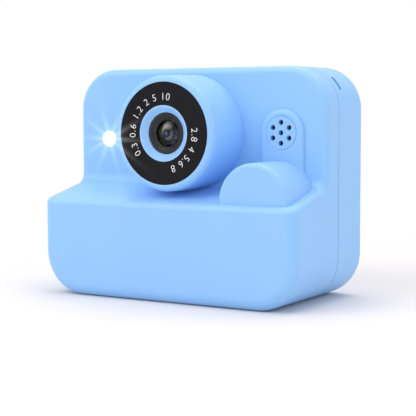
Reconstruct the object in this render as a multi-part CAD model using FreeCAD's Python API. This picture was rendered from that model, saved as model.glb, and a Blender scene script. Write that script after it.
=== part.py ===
import FreeCAD, Part
import math
import os

# Children's instant-print camera.  Millimetres, X to the right seen from the front,
# front towards -Y, Z up, origin under the middle of the case on the table.

V = FreeCAD.Vector

# --- case -------------------------------------------------------------------
HALF_W = 59.5          # half the width
HEIGHT = 94.0
FRONT_Y = -29.4        # front of the paper block
WALL_Y = -2.4          # front wall above the ledge
BACK_Y = 32.6          # back of the rear shell
SEAM_Y = 8.6
SEAM_GAP = 0.3
LEDGE_FRONT_Z = 39.7
LEDGE_WALL_Z = 46.1
TOP_R = 17.2           # upper corners seen from the front
LOW_R = 18.0           # lower corners seen from the front
BLOCK_R = 5.0          # upright and bottom front edges of the block
LEDGE_R = 2.8          # edge round the ledge and the front wall
INNER_R = 5.0          # hollow between ledge and wall
REAR_R = 3.6
SKIN = 2.2             # wall thickness
LIP = 1.1              # half of the wall, joint between the shells
LIP_LEN = 2.4

# --- lens -------------------------------------------------------------------
LENS_X = -1.1
LENS_Z = 67.5
BEZEL_Y = -25.45
BEZEL_T = 1.2
BEZEL_OUT = 20.5
BEZEL_IN = 11.2
RIM_R = 23.2
BARREL_R = 23.6
BARREL_BORE = 18.5
RIM_ROUND = 2.5
MODULE_R = 8.0
MODULE_Y = -23.4
RETAINER_Y = MODULE_Y + 0.7
DOME_R = 5.3
DOME_SAG = 1.5
FUNNEL_R = 8.35
GLASS_R = 6.2
BARREL_SCREW_R = 21.0

# --- front details ------------------------------------------------------------
GRILLE_X = 40.4
GRILLE_Z = 67.7
GRILLE_R = 6.65
SOUND_HOLE_R = 1.05
SOUND_RING_R = 4.1
PAD_R = 9.5
PAD_T = 1.9
PAD_ROUND = 1.6
PAD_SEAT_ROUND = 0.4
POD_X = 39.5
POD_Z = 41.4
POD_R = 15.2
POD_Y = -26.2
POD_ROUND = 1.8
POD_WALL = 1.8
FLASH_X = -44.1
FLASH_Z = 64.5
FLASH_R = 3.1

# --- rear ---------------------------------------------------------------------
SCREEN_X = 14.0
SCREEN_Z = 56.0
LCD = (60.3, 42.7, 2.4)
WINDOW = (58.0, 46.0)
VIEW = (50.0, 38.0)
KEY_X = -38.0
KEY_Z = 52.0
KEY_STEP = 10.5
KEY_R = 3.4
OK_R = 4.6
KEY_PROUD = 0.6
KEY_GAP = 0.3
# left and right as seen by the user, who looks at the back
KEYS = {
    "key_ok": (KEY_X, KEY_Z, OK_R),
    "key_up": (KEY_X, KEY_Z + KEY_STEP, KEY_R),
    "key_down": (KEY_X, KEY_Z - KEY_STEP, KEY_R),
    "key_left": (KEY_X + KEY_STEP, KEY_Z, KEY_R),
    "key_right": (KEY_X - KEY_STEP, KEY_Z, KEY_R),
    "key_menu": (KEY_X - 7.0, 72.5, KEY_R),
    "key_print": (KEY_X + 7.0, 72.5, KEY_R),
}

# --- top ----------------------------------------------------------------------
TOP_Y = 19.5
SHUTTER_X = -36.4
SHUTTER_R = 5.0
POWER_X = 38.0
POWER_R = 3.6
TOP_BOARD_Z = 86.2
SLOT_Y = 14.05         # plane of the printed strip
SLOT_HALF = 30.0

# --- printer --------------------------------------------------------------------
PAPER_W = 57.0
PAPER_T = 0.1
PLATEN_Y = 9.5
PLATEN_Z = 82.0
PLATEN_R = 4.4
SHAFT_R = 1.5
FIT = 0.05             # running clearance on radius
MODULE = 0.6
PLATEN_TEETH = 20
IDLER_SMALL = 12
IDLER_BIG = 26
PINION_TEETH = 10
IDLER_Y = 11.0
PLATE_T = 1.2
PLATE_X = 31.0         # inner face of the side plates
MOTOR_R = 7.5
GEAR_X = -33.6
GEAR_W = 3.0

# --- paper roll -----------------------------------------------------------------
ROLL_Y = -11.5
ROLL_Z = 18.5
ROLL_R = 12.5
CORE_R = 6.0
SPINDLE_R = 2.5
BIN_X = 30.0
BIN_T = 1.5

# --- paper door -----------------------------------------------------------------
DOOR_HALF = 32.7
DOOR_FRONT = -24.3
HINGE_Y = 1.6
HINGE_Z = 1.4
DOOR_Z = 0.4
DOOR_T = 2.0
HINGE_PIN_R = 0.6

# --- ports on the left side -------------------------------------------------------
PORT_Y = BACK_Y - 9.6
PORT_Z = (40.0, 54.5)
FLAP_Z = (31.5, 63.5)
FLAP_Y = (BACK_Y - 14.2, BACK_Y - 4.8)
FLAP_T = 1.2
RECESS = 1.5

BOARD_T = 1.6


def box(x0, y0, z0, x1, y1, z1):
    return Part.makeBox(x1 - x0, y1 - y0, z1 - z0, V(x0, y0, z0))


def cyl_x(x0, x1, y, z, r):
    return Part.makeCylinder(r, x1 - x0, V(x0, y, z), V(1, 0, 0))


def cyl_y(y0, y1, x, z, r):
    return Part.makeCylinder(r, y1 - y0, V(x, y0, z), V(0, 1, 0))


def cyl_z(z0, z1, x, y, r):
    return Part.makeCylinder(r, z1 - z0, V(x, y, z0), V(0, 0, 1))


def tube_y(y0, y1, x, z, r_out, r_in):
    return cyl_y(y0, y1, x, z, r_out).cut(cyl_y(y0 - 1, y1 + 1, x, z, r_in))


def join(parts):
    return parts[0].multiFuse(parts[1:]).removeSplitter() if len(parts) > 1 else parts[0]


def lathe(profile, x, z):
    """Turn a (radius, y) profile round an axis that runs front to back."""
    pts = [V(x + r, y, z) for r, y in profile]
    face = Part.Face(Part.makePolygon(pts + pts[:1]))
    return face.revolve(V(x, 0, z), V(0, 1, 0), 360)


def prism_x(profile, x0, x1):
    """Push a (y, z) profile along X."""
    pts = [V(x0, y, z) for y, z in profile]
    return Part.Face(Part.makePolygon(pts + pts[:1])).extrude(V(x1 - x0, 0, 0))


def round_box(x0, z0, x1, z1, y0, y1, r):
    body = box(x0, y0, z0, x1, y1, z1)
    edges = [e for e in body.Edges if e.BoundBox.YLength > (y1 - y0) - 0.001]
    return body.makeFillet(r, edges)


def outline(inset, y):
    """Rounded outline of the case seen from the front, as a face at depth y."""
    half = HALF_W - inset
    low = inset
    top = HEIGHT - inset
    rt = TOP_R - inset
    rb = LOW_R - inset

    def line(x0, z0, x1, z1):
        return Part.LineSegment(V(x0, y, z0), V(x1, y, z1)).toShape()

    def corner(x, z, r, start):
        pts = []
        for a in (start, start + 45, start + 90):
            pts.append(V(x + r * math.cos(math.radians(a)), y, z + r * math.sin(math.radians(a))))
        return Part.Arc(*pts).toShape()

    return Part.Face(Part.Wire([
        line(-half + rb, low, half - rb, low),
        corner(half - rb, low + rb, rb, -90),
        line(half, low + rb, half, top - rt),
        corner(half - rt, top - rt, rt, 0),
        line(half - rt, top, -half + rt, top),
        corner(-half + rt, top - rt, rt, 90),
        line(-half, top - rt, -half, low + rb),
        corner(-half + rb, low + rb, rb, 180)]))


def ledge_z(y, drop=0.0):
    slope = (LEDGE_WALL_Z - LEDGE_FRONT_Z) / (WALL_Y - FRONT_Y)
    return LEDGE_FRONT_Z + slope * (y - FRONT_Y) - drop


def front_form(inset, hollow_r, block_r, rim_r, end_y):
    """Block, sloping ledge and front wall as one solid, offset inwards by inset."""
    front = FRONT_Y + inset
    wall = WALL_Y + inset
    drop = inset * 1.03
    body = outline(inset, front).extrude(V(0, end_y - front, 0))
    reach = HALF_W + 20
    above = [(front - 5, ledge_z(front - 5, drop)), (wall, ledge_z(wall, drop)),
             (wall, HEIGHT + 5), (front - 5, HEIGHT + 5)]
    body = body.cut(prism_x(above, -reach, reach)).removeSplitter()
    crease = []
    for e in body.Edges:
        c = e.BoundBox.Center
        if e.BoundBox.XLength > 80 and abs(c.y - wall) < 0.01 and abs(c.z - ledge_z(wall, drop)) < 0.01:
            crease.append(e)
    body = body.makeFillet(hollow_r, crease)
    outer = []
    for e in body.Edges:
        b = e.BoundBox
        if abs(b.YMin - front) < 0.01 and abs(b.YMax - front) < 0.01 and (b.ZMax < LOW_R + 1 or b.XLength < 0.01):
            outer.append(e)
    body = body.makeFillet(block_r, outer)
    rim = []
    for e in body.Edges:
        b = e.BoundBox
        if b.ZMin > LEDGE_FRONT_Z - 3 and b.YMax < FRONT_Y + 6 and b.XLength > 80:
            rim.append(e)
    return body.makeFillet(rim_r, rim)


def rear_form(inset, start_y, end_y, edge_r):
    body = outline(inset, start_y).extrude(V(0, end_y - start_y, 0))
    edges = [e for e in body.Edges if e.BoundBox.YMin > end_y - 0.01]
    return body.makeFillet(edge_r, edges)


def mirrored(x, z):
    return [(-x, z), (x, z)]


CASE_BOSSES = mirrored(53.7, 74.0) + mirrored(51.6, 10.0)
CASE_SEAT = SEAM_Y + 2.7
CASE_SCREW = 9.5
BOSS_R = 3.4
REAR_BOSS_R = 4.0
BIN_SCREWS = [(-34.5, -20.0), (34.5, -20.0), (-34.5, -4.0), (34.5, -4.0)]
BIN_TOP = 34.2
POD_SCREWS = [(44.5, -19.0), (44.5, -8.5)]
POD_SEAT = 36.6
BARREL_ANGLES = (45, 135, 225, 315)


def barrel_screw_points():
    pts = []
    for a in BARREL_ANGLES:
        pts.append((LENS_X + BARREL_SCREW_R * math.cos(math.radians(a)),
                    LENS_Z + BARREL_SCREW_R * math.sin(math.radians(a))))
    return pts


OUTER_FRONT = front_form(0.0, INNER_R, BLOCK_R, LEDGE_R, SEAM_Y - SEAM_GAP / 2)
INNER_FRONT = front_form(SKIN, INNER_R + SKIN, BLOCK_R - SKIN, LEDGE_R - SKIN, SEAM_Y + 5)


def door_opening():
    gap = 0.3
    return box(-DOOR_HALF - gap, DOOR_FRONT - gap, -1, DOOR_HALF + gap, HINGE_Y + 1.0 + gap, SKIN + 0.1)


def make_front_shell():
    end = SEAM_Y - SEAM_GAP / 2
    shell = OUTER_FRONT.cut(INNER_FRONT)
    shell = shell.cut(outline(LIP, end - LIP_LEN).extrude(V(0, LIP_LEN + 1, 0)))
    add = []
    for x, z in CASE_BOSSES:
        start = -14.0 if z < 40 else WALL_Y + 0.4
        add.append(cyl_y(start, end - 0.15, x, z, BOSS_R))
    for x, y in BIN_SCREWS:
        add.append(cyl_z(BIN_TOP, ledge_z(y) - 1.2, x, y, 2.6))
    for x, y in POD_SCREWS:
        add.append(cyl_z(POD_SEAT, ledge_z(y) - 1.0, x, y, 3.0))
    for side in (-1, 1):
        x0 = DOOR_HALF + 0.3
        x1 = DOOR_HALF + 5.0
        low, high = (x0, x1) if side > 0 else (-x1, -x0)
        add.append(box(low, HINGE_Y - 3.0, 0.6, high, HINGE_Y + 3.0, 4.6))
    shell = join([shell] + add)
    cuts = [door_opening()]
    cuts.append(cyl_x(-DOOR_HALF - 3.6, DOOR_HALF + 3.6, HINGE_Y, HINGE_Z, HINGE_PIN_R))
    cuts.append(cyl_y(WALL_Y - 1, WALL_Y + SKIN + 1, LENS_X, LENS_Z, 14.0))
    cuts.append(cyl_y(WALL_Y - 1, WALL_Y + SKIN + 1, FLASH_X, FLASH_Z, FLASH_R))
    cuts.append(cyl_y(WALL_Y - 1, WALL_Y + SKIN + 1, GRILLE_X, GRILLE_Z, 5.4))
    for x, z in barrel_screw_points():
        cuts.append(cyl_y(WALL_Y - 1, WALL_Y + SKIN + 1, x, z, 1.1))
    for x, z in CASE_BOSSES:
        cuts.append(cyl_y(CASE_SEAT - CASE_SCREW - 0.5, end + 1, x, z, 1.1))
    for x, y in BIN_SCREWS:
        cuts.append(cyl_z(BIN_TOP - 1, BIN_TOP + 4.2, x, y, 0.9))
    for x, y in POD_SCREWS:
        cuts.append(cyl_z(POD_SEAT - 1, ledge_z(y) + 3, x, y, 0.9))
    return shell.cut(Part.makeCompound(cuts))


LANYARD = (HALF_W - TOP_R, HEIGHT - TOP_R)
LANYARD_Y = 13.9
LANYARD_FROM = 27.5
LANYARD_TO = 48.5
LANYARD_W = 2.2
LANYARD_PIN_R = 1.1


def lanyard_slot():
    """Slot that follows the upper corner, cut through the wall."""
    x, z = LANYARD
    ring = tube_y(LANYARD_Y - LANYARD_W / 2, LANYARD_Y + LANYARD_W / 2, x, z, TOP_R + 1, TOP_R - SKIN - 1)
    a = math.radians(LANYARD_FROM)
    b = math.radians(LANYARD_TO)
    far = TOP_R * 2
    wedge = Part.makePolygon([V(x, 0, z), V(x + far * math.cos(a), 0, z + far * math.sin(a)),
                              V(x + far * math.cos(b), 0, z + far * math.sin(b)), V(x, 0, z)])
    return ring.common(Part.Face(wedge).extrude(V(0, 40, 0)))


def lanyard_pin_point():
    a = math.radians((LANYARD_FROM + LANYARD_TO) / 2)
    r = TOP_R - SKIN - 2.4
    return LANYARD[0] + r * math.cos(a), LANYARD[1] + r * math.sin(a)


PCB_SCREWS = [(-19.0, 79.3), (46.6, 79.3), (-19.0, 37.5), (46.6, 37.5)]
PCB_Y = BACK_Y - 9.6
KEY_BOARD_SCREWS = [(-50.0, 24.0), (-27.0, 24.0), (-52.0, 66.0)]
KEY_BOARD_Y = BACK_Y - 8.0
KEY_BOARD_T = 1.2
INSIDE_BACK = BACK_Y - SKIN
TOP_BOARDS = [(-47.2, -32.6, (-45.0, 21.8)), (32.6, 47.2, (45.0, 21.8))]
FRAME_TABS = (-24.0, 24.0)
FRAME_TAB_Z = 88.0
FRAME_TAB_Y = 21.0
SCREW_HOLE = 0.8
MIC = (-48.0, 32.5)


def make_rear_shell():
    start = SEAM_Y + SEAM_GAP / 2
    outer = rear_form(0.0, start, BACK_Y, REAR_R)
    inner = rear_form(SKIN, start - 1, INSIDE_BACK, REAR_R - SKIN)
    shell = outer.cut(inner)
    lip = outline(LIP, SEAM_Y - SEAM_GAP / 2 - LIP_LEN).extrude(V(0, LIP_LEN + SEAM_GAP + 1.0, 0))
    lip = lip.cut(outline(SKIN, 0).extrude(V(0, 20, 0)))
    gaps = [cyl_y(-5, start, x, z, BOSS_R + 0.3) for x, z in CASE_BOSSES]
    lip = lip.cut(Part.makeCompound(gaps))
    add = [lip]
    for x, z in CASE_BOSSES:
        add.append(cyl_y(SEAM_Y - 0.3, start + 0.1, x, z, BOSS_R))
        add.append(cyl_y(start, BACK_Y - 1.0, x, z, REAR_BOSS_R))
    for x, z in PCB_SCREWS:
        add.append(cyl_y(PCB_Y + BOARD_T, BACK_Y - 1, x, z, 2.2))
    for x, z in KEY_BOARD_SCREWS:
        add.append(cyl_y(KEY_BOARD_Y + KEY_BOARD_T, BACK_Y - 1, x, z, 2.0))
    for _, _, (x, y) in TOP_BOARDS:
        add.append(cyl_z(TOP_BOARD_Z, HEIGHT - 1.2, x, y, 1.7))
    for x in FRAME_TABS:
        add.append(cyl_z(FRAME_TAB_Z, HEIGHT - 1.2, x, FRAME_TAB_Y, 2.2))
    add.append(box(-HALF_W + 1, FLAP_Y[0] - 2, FLAP_Z[0] - 2.5, -HALF_W + RECESS + 1.5, FLAP_Y[1] + 1, FLAP_Z[1] + 2.5))
    px, pz = lanyard_pin_point()
    room = outline(LIP, start).extrude(V(0, 15, 0))
    for y in (LANYARD_Y - 3.2, LANYARD_Y + 2.0):
        rib = cyl_y(y, y + 1.2, px, pz, 4.4)
        add.append(rib.common(room))
    shell = join([shell] + add)
    cuts = [lanyard_slot()]
    cuts.append(cyl_y(LANYARD_Y - 3.2, LANYARD_Y + 3.2, px, pz, LANYARD_PIN_R))
    for x, z in CASE_BOSSES:
        cuts.append(cyl_y(CASE_SEAT, BACK_Y + 1, x, z, 2.8))
        cuts.append(cyl_y(SEAM_Y - 1, CASE_SEAT + 1, x, z, 1.1))
    w, h = WINDOW
    cuts.append(round_box(SCREEN_X - w / 2, SCREEN_Z - h / 2, SCREEN_X + w / 2, SCREEN_Z + h / 2,
                          BACK_Y - 1.2, BACK_Y + 1, 3.0))
    w, h = VIEW
    cuts.append(box(SCREEN_X - w / 2, INSIDE_BACK - 1, SCREEN_Z - h / 2, SCREEN_X + w / 2, BACK_Y, SCREEN_Z + h / 2))
    for x, z, r in KEYS.values():
        cuts.append(cyl_y(INSIDE_BACK - 1, BACK_Y + 1, x, z, r + KEY_GAP))
    cuts.append(cyl_y(INSIDE_BACK - 1, BACK_Y + 1, MIC[0], MIC[1], 0.6))
    for x, z in PCB_SCREWS:
        cuts.append(cyl_y(PCB_Y, PCB_Y + BOARD_T + 4, x, z, SCREW_HOLE))
    for x, z in KEY_BOARD_SCREWS:
        cuts.append(cyl_y(KEY_BOARD_Y, KEY_BOARD_Y + KEY_BOARD_T + 3.4, x, z, SCREW_HOLE))
    for _, _, (x, y) in TOP_BOARDS:
        cuts.append(cyl_z(TOP_BOARD_Z - 1, TOP_BOARD_Z + 4, x, y, SCREW_HOLE))
    for x in FRAME_TABS:
        cuts.append(cyl_z(FRAME_TAB_Z - 1, FRAME_TAB_Z + 3.6, x, FRAME_TAB_Y, SCREW_HOLE))
    cuts.append(cyl_z(HEIGHT - SKIN - 1, HEIGHT + 1, SHUTTER_X, TOP_Y, SHUTTER_R + KEY_GAP))
    cuts.append(cyl_z(HEIGHT - SKIN - 1, HEIGHT + 1, POWER_X, TOP_Y, POWER_R + KEY_GAP))
    cuts.append(box(-SLOT_HALF, SLOT_Y - 1.4, HEIGHT - SKIN - 1, SLOT_HALF, SLOT_Y + 1.2, HEIGHT + 1))
    cuts.append(box(-SLOT_HALF, SLOT_Y + 1.1, HEIGHT - SKIN - 1, SLOT_HALF, SLOT_Y + 1.8, HEIGHT - 0.6))
    y0, y1 = FLAP_Y
    z0, z1 = FLAP_Z
    cuts.append(box(-HALF_W - 1, y0 - 1.0, z0, -HALF_W + RECESS, y1 + 0.4, z1))
    cuts.append(cyl_z(z0 - 1.25, z1 + 1.25, -HALF_W + 0.75, y0, 0.45))
    usb, sd = PORT_Z
    cuts.append(box(-HALF_W - 1, PORT_Y - 1.6, usb - 4.5, -HALF_W + 5, PORT_Y + 1.6, usb + 4.5))
    cuts.append(box(-HALF_W - 1, PORT_Y - 0.5, sd - 6.0, -HALF_W + 5, PORT_Y + 1.8, sd + 6.0))
    return shell.cut(Part.makeCompound(cuts))


def soft_edge(shape, y, r):
    edges = [e for e in shape.Edges if abs(e.BoundBox.YMax - y) < 0.01 and abs(e.BoundBox.YMin - y) < 0.01]
    return shape.makeFillet(r, edges)


def make_speaker_pad():
    front = WALL_Y - PAD_T
    low = POD_Z + 6
    pad = join([cyl_y(front, WALL_Y, GRILLE_X, GRILLE_Z, PAD_R),
                box(GRILLE_X - PAD_R, front, low, GRILLE_X + PAD_R, WALL_Y, GRILLE_Z)])
    pad = soft_edge(pad, front, PAD_ROUND)
    pad = pad.cut(cyl_y(front - 1, WALL_Y + 1, GRILLE_X, GRILLE_Z, GRILLE_R + 0.03))
    mouth = [e for e in pad.Edges if e.BoundBox.YMax < front + 0.01 and e.BoundBox.XLength < 2 * GRILLE_R + 1]
    pad = pad.makeFillet(PAD_SEAT_ROUND, mouth)
    pod = cyl_y(POD_Y, WALL_Y + 1, POD_X, POD_Z, POD_R)
    return pad.cut(pod).cut(OUTER_FRONT)


def make_speaker_grille():
    disc = cyl_y(WALL_Y - PAD_T, WALL_Y, GRILLE_X, GRILLE_Z, GRILLE_R)
    holes = [(0.0, 0.0)]
    for k in range(6):
        a = math.radians(90 + 60 * k)
        holes.append((SOUND_RING_R * math.cos(a), SOUND_RING_R * math.sin(a)))
    for dx, dz in holes:
        disc = disc.cut(cyl_y(WALL_Y - PAD_T - 1, WALL_Y + 1, GRILLE_X + dx, GRILLE_Z + dz, SOUND_HOLE_R))
    return disc


def make_pod_cover():
    pod = cyl_y(POD_Y, WALL_Y, POD_X, POD_Z, POD_R)
    pod = soft_edge(pod, POD_Y, POD_ROUND)
    hollow = cyl_y(POD_Y + POD_WALL, WALL_Y - POD_WALL, POD_X, POD_Z, POD_R - POD_WALL)
    pod = pod.cut(hollow)
    posts = []
    for x, y in POD_SCREWS:
        posts.append(cyl_z(LEDGE_FRONT_Z, POD_Z + POD_R - 2.5, x, y, 2.4))
    pod = join([pod] + posts).cut(OUTER_FRONT)
    pod = pod.common(box(0, FRONT_Y, LEDGE_FRONT_Z - 1, HALF_W, WALL_Y, HEIGHT))
    for x, y in POD_SCREWS:
        pod = pod.cut(cyl_z(LEDGE_FRONT_Z - 5, ledge_z(y) + 5, x, y, 0.9))
    return pod


def make_lens_barrel():
    crest = RIM_R - RIM_ROUND
    profile = [(FUNNEL_R, MODULE_Y + 1.6), (FUNNEL_R, MODULE_Y - 0.1), (BEZEL_IN - 0.7, BEZEL_Y),
               (BEZEL_IN, BEZEL_Y), (BEZEL_IN, BEZEL_Y + BEZEL_T), (BEZEL_OUT, BEZEL_Y + BEZEL_T),
               (BEZEL_OUT, BEZEL_Y)]
    for k in range(7):
        a = math.radians(90 * k / 6)
        profile.append((crest + RIM_ROUND * math.sin(a), BEZEL_Y + RIM_ROUND * (1 - math.cos(a))))
    profile += [(BARREL_R, WALL_Y), (BARREL_BORE, WALL_Y), (BARREL_BORE, MODULE_Y + 1.6)]
    barrel = lathe(profile, LENS_X, LENS_Z)
    posts = []
    for x, z in sensor_posts():
        posts.append(cyl_y(MODULE_Y + 1.6, SENSOR_Y, x, z, 2.0))
    barrel = join([barrel] + posts).cut(OUTER_FRONT)
    for x, z in barrel_screw_points():
        barrel = barrel.cut(cyl_y(WALL_Y - 6, WALL_Y + 1, x, z, 1.1))
    for x, z in sensor_posts():
        barrel = barrel.cut(cyl_y(SENSOR_Y - 5, SENSOR_Y + 1, x, z, SCREW_HOLE))
    return barrel


SENSOR_Y = -10.8


def sensor_posts():
    return [(LENS_X - 10.2, LENS_Z - 8.0), (LENS_X + 10.2, LENS_Z + 8.0)]


def make_lens_bezel():
    return tube_y(BEZEL_Y, BEZEL_Y + BEZEL_T, LENS_X, LENS_Z, BEZEL_OUT, BEZEL_IN)


def make_lens_housing():
    y = MODULE_Y
    profile = [(7.1, y), (MODULE_R, y), (MODULE_R, y + 1.6), (10.4, y + 1.6), (10.4, y + 3.0), (MODULE_R, y + 3.0),
               (MODULE_R, y + 9.4), (4.6, y + 9.4), (4.6, y + 7.4), (GLASS_R, y + 7.4),
               (GLASS_R, RETAINER_Y)]
    return lathe(profile, LENS_X, LENS_Z)


def make_lens_retainer():
    y = RETAINER_Y
    profile = [(DOME_R + 0.1, y + 1.0), (DOME_R + 0.1, y + 0.5), (GLASS_R - 0.3, y), (GLASS_R, y),
               (GLASS_R, y + 1.0)]
    return lathe(profile, LENS_X, LENS_Z)


def dome(r, sag, y, depth, toward=-1):
    """Glass disc of thickness depth with a domed face at y, sagging towards the front."""
    ball = (r * r + sag * sag) / (2 * sag)
    sphere = Part.makeSphere(ball, V(LENS_X, y - toward * (ball - sag), LENS_Z))
    disc = cyl_y(y, y + depth, LENS_X, LENS_Z, r)
    cap = cyl_y(min(y, y + toward * sag * 1.01), max(y, y + toward * sag * 1.01), LENS_X, LENS_Z, r)
    return join([disc, cap.common(sphere)])


def make_front_lens():
    y = RETAINER_Y + 1.0
    edge = cyl_y(y, MODULE_Y + 4.0, LENS_X, LENS_Z, GLASS_R)
    return join([edge, dome(DOME_R, DOME_SAG, y, 1.0)])


def make_aperture_ring():
    return tube_y(MODULE_Y + 4.0, MODULE_Y + 4.6, LENS_X, LENS_Z, GLASS_R, 2.0)


def make_rear_lens():
    return cyl_y(MODULE_Y + 4.6, MODULE_Y + 7.4, LENS_X, LENS_Z, GLASS_R)


def make_sensor_holder():
    y0 = MODULE_Y + 9.4
    half = 7.2
    body = box(LENS_X - half, y0, LENS_Z - half, LENS_X + half, SENSOR_Y, LENS_Z + half)
    inner = half - 1.4
    body = body.cut(box(LENS_X - inner, y0 + 1.0, LENS_Z - inner, LENS_X + inner, SENSOR_Y + 1, LENS_Z + inner))
    return body.cut(cyl_y(y0 - 1, y0 + 2, LENS_X, LENS_Z, 4.0))


def make_sensor_board():
    board = box(LENS_X - 13, SENSOR_Y, LENS_Z - 10.5, LENS_X + 13, SENSOR_Y + 1.0, LENS_Z + 10.5)
    board = board.cut(box(LENS_X + 6, SENSOR_Y - 1, LENS_Z - 11, LENS_X + 14, SENSOR_Y + 2, LENS_Z - 5))
    chip = box(LENS_X - 3.5, SENSOR_Y - 0.9, LENS_Z - 3.5, LENS_X + 3.5, SENSOR_Y, LENS_Z + 3.5)
    board = join([board, chip])
    for x, z in sensor_posts():
        board = board.cut(cyl_y(SENSOR_Y - 1, SENSOR_Y + 2, x, z, SCREW_HOLE))
    return board


def make_flash_lens():
    window = cyl_y(WALL_Y - 0.3, WALL_Y + 0.9, FLASH_X, FLASH_Z, FLASH_R)
    return soft_edge(window, WALL_Y - 0.3, 0.25)


def make_flash_board():
    y = WALL_Y + SKIN
    board = box(FLASH_X - 6, y, FLASH_Z - 5, FLASH_X + 6, y + 1.0, FLASH_Z + 5)
    lamp = box(FLASH_X - 1.8, y - 1.3, FLASH_Z - 1.8, FLASH_X + 1.8, y, FLASH_Z + 1.8)
    return join([board, lamp])


def make_speaker():
    y = WALL_Y + SKIN
    basket = lathe([(0, y + 1.6), (4.4, y + 0.9), (5.3, y), (9.0, y), (9.0, y + 2.2), (6.0, y + 2.2),
                    (6.0, y + 4.4), (0, y + 4.4)], GRILLE_X, GRILLE_Z)
    return basket


def make_main_pcb():
    board = round_box(-22.0, 34.0, 48.8, 82.4, PCB_Y, PCB_Y + BOARD_T, 2.0)
    front = PCB_Y
    chips = [box(2, front - 1.0, 42, 14, front, 54), box(20, front - 1.2, 44, 30, front, 51),
             box(22, front - 0.9, 55, 28, front, 61), box(-14, front - 1.4, 40, -6, front, 44),
             box(36, front - 3.0, 38, 44, front, 43), box(36, front - 3.0, 47, 44, front, 55),
             box(-16, front - 2.0, 50, -10, front, 60), box(4, PCB_Y + BOARD_T, 36, 24, PCB_Y + BOARD_T + 1.4, 40)]
    board = join([board] + chips)
    for x, z in PCB_SCREWS:
        board = board.cut(cyl_y(PCB_Y - 1, PCB_Y + BOARD_T + 1, x, z, SCREW_HOLE))
    return board


def make_lcd_module():
    w, h, t = LCD
    y1 = INSIDE_BACK
    frame = box(SCREEN_X - w / 2, y1 - t, SCREEN_Z - h / 2, SCREEN_X + w / 2, y1, SCREEN_Z + h / 2)
    w, h = VIEW
    return frame.cut(box(SCREEN_X - w / 2 + 0.6, y1 - 0.3, SCREEN_Z - h / 2 + 0.6,
                         SCREEN_X + w / 2 - 0.6, y1 + 1, SCREEN_Z + h / 2 - 0.6))


def make_screen_window():
    w = WINDOW[0] - 0.3
    h = WINDOW[1] - 0.3
    return round_box(SCREEN_X - w / 2, SCREEN_Z - h / 2, SCREEN_X + w / 2, SCREEN_Z + h / 2,
                     BACK_Y - 1.2, BACK_Y - 0.2, 2.85)


def make_key(x, z, r):
    face = BACK_Y + KEY_PROUD
    cap = cyl_y(INSIDE_BACK, face, x, z, r)
    cap = cap.makeFillet(0.5, [e for e in cap.Edges if e.BoundBox.YMin > face - 0.01])
    flange = cyl_y(INSIDE_BACK - 1.0, INSIDE_BACK, x, z, r + 0.9)
    stem = cyl_y(INSIDE_BACK - 1.7, INSIDE_BACK - 1.0, x, z, 1.5)
    return join([cap, flange, stem])


def make_key_board():
    y0 = KEY_BOARD_Y
    y1 = y0 + KEY_BOARD_T
    board = round_box(-56.0, 18.0, -24.0, 78.0, y0, y1, 2.0)
    x, z = CASE_BOSSES[0]
    board = board.cut(box(x - 5, y0 - 1, z - REAR_BOSS_R - 0.5, x + REAR_BOSS_R + 0.4, y1 + 1, 80))
    mic = cyl_y(y1, y1 + 2.4, MIC[0], MIC[1], 2.6)
    board = join([board, mic])
    for x, z in KEY_BOARD_SCREWS:
        board = board.cut(cyl_y(y0 - 1, y1 + 1, x, z, SCREW_HOLE))
    return board


def make_tact_switches():
    parts = []
    y = KEY_BOARD_Y + KEY_BOARD_T
    for x, z, _ in KEYS.values():
        body = box(x - 2.6, y, z - 2.6, x + 2.6, y + 1.7, z + 2.6)
        parts.append(body.fuse(cyl_y(y + 1.7, y + 2.2, x, z, 1.4)))
    for x in (SHUTTER_X, POWER_X):
        body = box(x - 2.6, TOP_Y - 2.6, TOP_BOARD_Z, x + 2.6, TOP_Y + 2.6, TOP_BOARD_Z + 1.7)
        parts.append(body.fuse(cyl_z(TOP_BOARD_Z + 1.7, TOP_BOARD_Z + 2.2, x, TOP_Y, 1.4)))
    return Part.makeCompound(parts)


def make_top_button(x, r):
    under = HEIGHT - SKIN
    cap = cyl_z(under, HEIGHT, x, TOP_Y, r)
    cap = cap.makeFillet(0.4, [e for e in cap.Edges if e.BoundBox.ZMin > HEIGHT - 0.01])
    flange = cyl_z(under - 1.0, under, x, TOP_Y, r + 0.9)
    stem = cyl_z(TOP_BOARD_Z + 3.1, under - 1.0, x, TOP_Y, 1.5)
    return join([cap, flange, stem])


def make_switch_boards():
    parts = []
    for x0, x1, (x, y) in TOP_BOARDS:
        board = box(x0, 16.5, TOP_BOARD_Z - 1.2, x1, 24.0, TOP_BOARD_Z)
        parts.append(board.cut(cyl_z(TOP_BOARD_Z - 2, TOP_BOARD_Z + 1, x, y, SCREW_HOLE)))
    return Part.makeCompound(parts)


def make_battery_pack():
    body = box(-22.0, INSIDE_BACK - 8.4, 4.5, 38.0, INSIDE_BACK, 32.0)
    long_edges = [e for e in body.Edges if e.BoundBox.XLength > 50 and e.BoundBox.YMin < INSIDE_BACK - 8]
    body = body.makeFillet(2.0, long_edges)
    cap = box(38.0, INSIDE_BACK - 7.4, 7.0, 40.2, INSIDE_BACK - 1.0, 29.5)
    return join([body, cap])


def idler_z():
    span = MODULE * (PLATEN_TEETH + IDLER_SMALL) / 2
    return PLATEN_Z - math.sqrt(span * span - (IDLER_Y - PLATEN_Y) ** 2)


def motor_z():
    return idler_z() - MODULE * (IDLER_BIG + PINION_TEETH) / 2


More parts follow.
